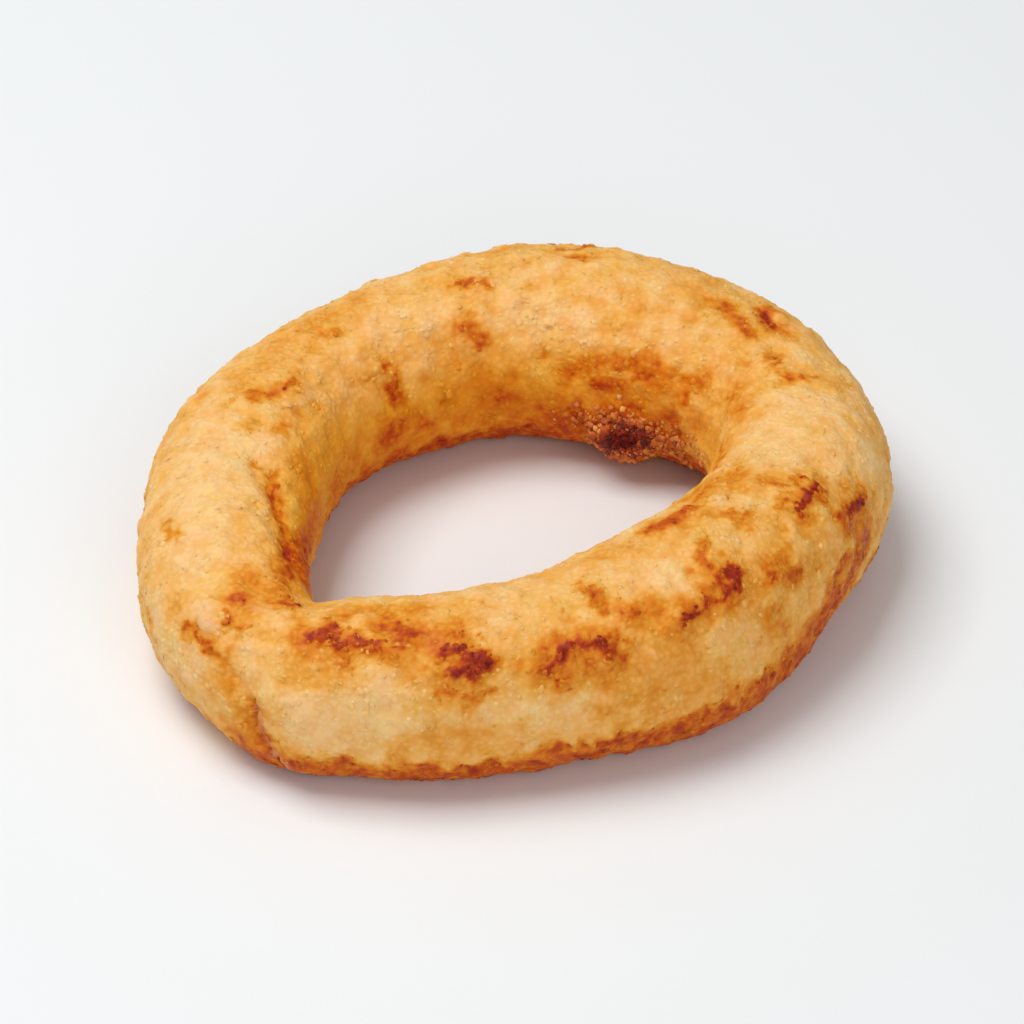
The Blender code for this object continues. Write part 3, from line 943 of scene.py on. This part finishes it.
class ONIONRING_OT_burnt_crumbs(bpy.types.Operator):
    """Sticks the burnt crumbs, and the pale ones among them, inside the hole"""

    bl_idname = "onion_ring.burnt_crumbs"
    bl_label = "Burnt Crumbs"

    def execute(self, context):
        look = context.scene.onion_ring_crumbs
        dice = np.random.default_rng(13)
        points, normals, area, _, _, warm_bounce = finished_crust()
        bearing = np.degrees(np.arctan2(points[..., 1], points[..., 0]))
        turn = np.broadcast_to(np.arange(ROUND_TUBE) * 360 / ROUND_TUBE, bearing.shape)
        # How far each point is from the middle of the patch, 1 at its usual edge
        off = np.hypot(bearing - BURNT_BEARING, turn - BURNT_TURN) / BURNT_SPREAD
        spots, i, j = scattered(points, area, np.exp(-(off**2) * 0.6), look.burnt_count, dice)
        off = off[i, j]
        sizes = crumb_sizes(
            look.burnt_size, len(spots), dice, spread=0.45, least=0.35, most=1.8, shift=-0.15
        )
        shade = np.clip(1.15 - 0.42 * off + dice.normal(0, 0.10, len(spots)), 0.5, 1.0)
        # Smaller pale crumbs lie among the burnt ones, more of them towards the edge and below
        below = eased(turn[i, j], BURNT_TURN + 2, BURNT_TURN + 8)
        pale = dice.random(len(spots)) < np.clip(0.36 * off - 0.05 + 0.25 * below, 0, 0.5)
        sizes = np.where(pale, 0.75 * sizes, sizes)
        shade = np.where(pale, dice.uniform(0.15, 0.6, len(spots)), shade)
        pink = np.where(pale, 0.20, np.clip(0.12 * off - 0.03, 0, 0.18))
        corners, faces, each = crumbs(
            ball(fineness=2), spots, normals[i, j], sizes, dice, flatness=0.80, lift=0.12, uneven=0.28
        )
        material = deep_fried_batter("burnt_batter_crumbs", gloss=0.04, bump=0.06, glow=0.0)
        # Each burnt crumb takes half the painted warm bounce light of the crust under it
        shades = np.repeat((shade, pink, 0.5 * warm_bounce[i, j]), each, 1)
        shaped("burnt_crumbs", corners, faces, shades, material)
        return {"FINISHED"}


def laminated_board():
    """White melamine laminate, pressed smooth: near white, with a satin sheen and a faint fine tooth."""
    material = bpy.data.materials.new("white_melamine_laminate")
    material.use_nodes = True
    tree = material.node_tree
    tree.nodes.clear()
    place = add(tree, "ShaderNodeTexCoord").outputs["Object"]
    # Tooth 0.8 mm across: the real one is too fine to show
    tooth = add(
        tree, "ShaderNodeTexNoise", {"Vector": place, "Scale": 1 / (0.8 * MM), "Detail": 2.0}
    ).outputs["Fac"]
    normal = add(tree, "ShaderNodeBump", {"Height": tooth, "Distance": 0.01 * MM}).outputs["Normal"]
    white = bpy.context.scene.onion_ring_stage.floor
    shader = add(
        tree, "ShaderNodeBsdfPrincipled",
        {"Base Color": white, "Roughness": 0.5, "IOR": 1.5, "Normal": normal},
    )
    add(tree, "ShaderNodeOutputMaterial", {"Surface": shader.outputs[0]})
    return material


def soft_light(name, place, width, watts):
    """A square soft light that points at the ring."""
    lamp = bpy.data.lights.new(name, "AREA")
    lamp.shape = "SQUARE"
    lamp.size = width
    lamp.energy = watts
    lamp.color = linear(DAYLIGHT)[:3]
    light = bpy.data.objects.new(name, lamp)
    light.location = place
    light.rotation_euler = (Vector(RING_MIDDLE) - Vector(place)).to_track_quat("-Z", "Y").to_euler()
    bpy.context.scene.collection.objects.link(light)


def set_camera(look):
    """A long lens that looks down on the ring from the front."""
    # It points at the ring's middle, a little to the left and to the front
    target = Vector((-0.65, -1.82, 9.0)) * MM
    away = Vector((0, -math.cos(look.camera_height), math.sin(look.camera_height)))
    lens = bpy.data.cameras.new("camera")
    lens.lens = 175
    lens.sensor_width = 36
    lens.clip_start = 0.01
    lens.clip_end = 20
    camera = bpy.data.objects.new("camera", lens)
    camera.location = target + away * look.camera_distance
    camera.rotation_euler = (-away).to_track_quat("-Z", "Y").to_euler()
    bpy.context.scene.collection.objects.link(camera)
    bpy.context.scene.camera = camera


class ONIONRING_OT_stage(bpy.types.Operator):
    """Sets the floor, the lights and the camera"""

    bl_idname = "onion_ring.stage"
    bl_label = "Floor, Light and Camera"

    def execute(self, context):
        look = context.scene.onion_ring_stage
        far = 3.0
        corners = [(-far, -far, 0), (far, -far, 0), (far, far, 0), (-far, far, 0)]
        mesh = bpy.data.meshes.new("floor")
        mesh.from_pydata(corners, [], [(0, 1, 2, 3)])
        mesh.materials.append(laminated_board())
        floor = bpy.data.objects.new("floor", mesh)
        context.scene.collection.objects.link(floor)
        soft_light("window", place=(-0.27, 0.08, 0.68), width=0.45, watts=look.window)
        soft_light("card", place=(0.22, -0.70, 0.40), width=0.6, watts=look.card)
        world = bpy.data.worlds.new("room")
        world.use_nodes = True
        background = world.node_tree.nodes["Background"]
        background.inputs["Color"].default_value = linear(DAYLIGHT)
        background.inputs["Strength"].default_value = look.room
        context.scene.world = world
        context.scene.view_settings.view_transform = "Standard"
        context.scene.view_settings.look = "None"
        set_camera(look)
        return {"FINISHED"}


class ONIONRING_PT_sidebar(bpy.types.Panel):
    """Lists the pieces of the onion ring and what can be changed"""

    bl_label = "Fried Onion Ring"
    bl_idname = "ONIONRING_PT_sidebar"
    bl_space_type = "VIEW_3D"
    bl_region_type = "UI"
    bl_category = "Onion Ring"

    def draw(self, context):
        for look, makers in PIECES:
            box = self.layout.box()
            settings = getattr(context.scene, look)
            for name in settings.__annotations__:
                box.prop(settings, name)
            for maker in makers:
                box.operator(maker.bl_idname)


CRUMB_MAKERS = (ONIONRING_OT_fine_crumbs, ONIONRING_OT_browned_crumbs, ONIONRING_OT_burnt_crumbs)
# What the sidebar lists: each group of settings, and the makers that use it
PIECES = (
    ("onion_ring_crust", (ONIONRING_OT_crust,)),
    ("onion_ring_crumbs", CRUMB_MAKERS),
    ("onion_ring_stage", (ONIONRING_OT_stage,)),
)
CLASSES = (
    CrustLook, CrumbLook, StageLook, ONIONRING_OT_crust, *CRUMB_MAKERS, ONIONRING_OT_stage,
    ONIONRING_PT_sidebar,
)


def register():
    for kind in CLASSES:
        bpy.utils.register_class(kind)
    bpy.types.Scene.onion_ring_crust = PointerProperty(type=CrustLook)
    bpy.types.Scene.onion_ring_crumbs = PointerProperty(type=CrumbLook)
    bpy.types.Scene.onion_ring_stage = PointerProperty(type=StageLook)


def unregister():
    del bpy.types.Scene.onion_ring_stage
    del bpy.types.Scene.onion_ring_crumbs
    del bpy.types.Scene.onion_ring_crust
    for kind in reversed(CLASSES):
        bpy.utils.unregister_class(kind)


def main():
    """Makes the whole ring."""
    register()
    bpy.ops.onion_ring.crust()
    bpy.ops.onion_ring.fine_crumbs()
    bpy.ops.onion_ring.browned_crumbs()
    bpy.ops.onion_ring.burnt_crumbs()
    bpy.ops.onion_ring.stage()


if __name__ == "__main__":
    main()
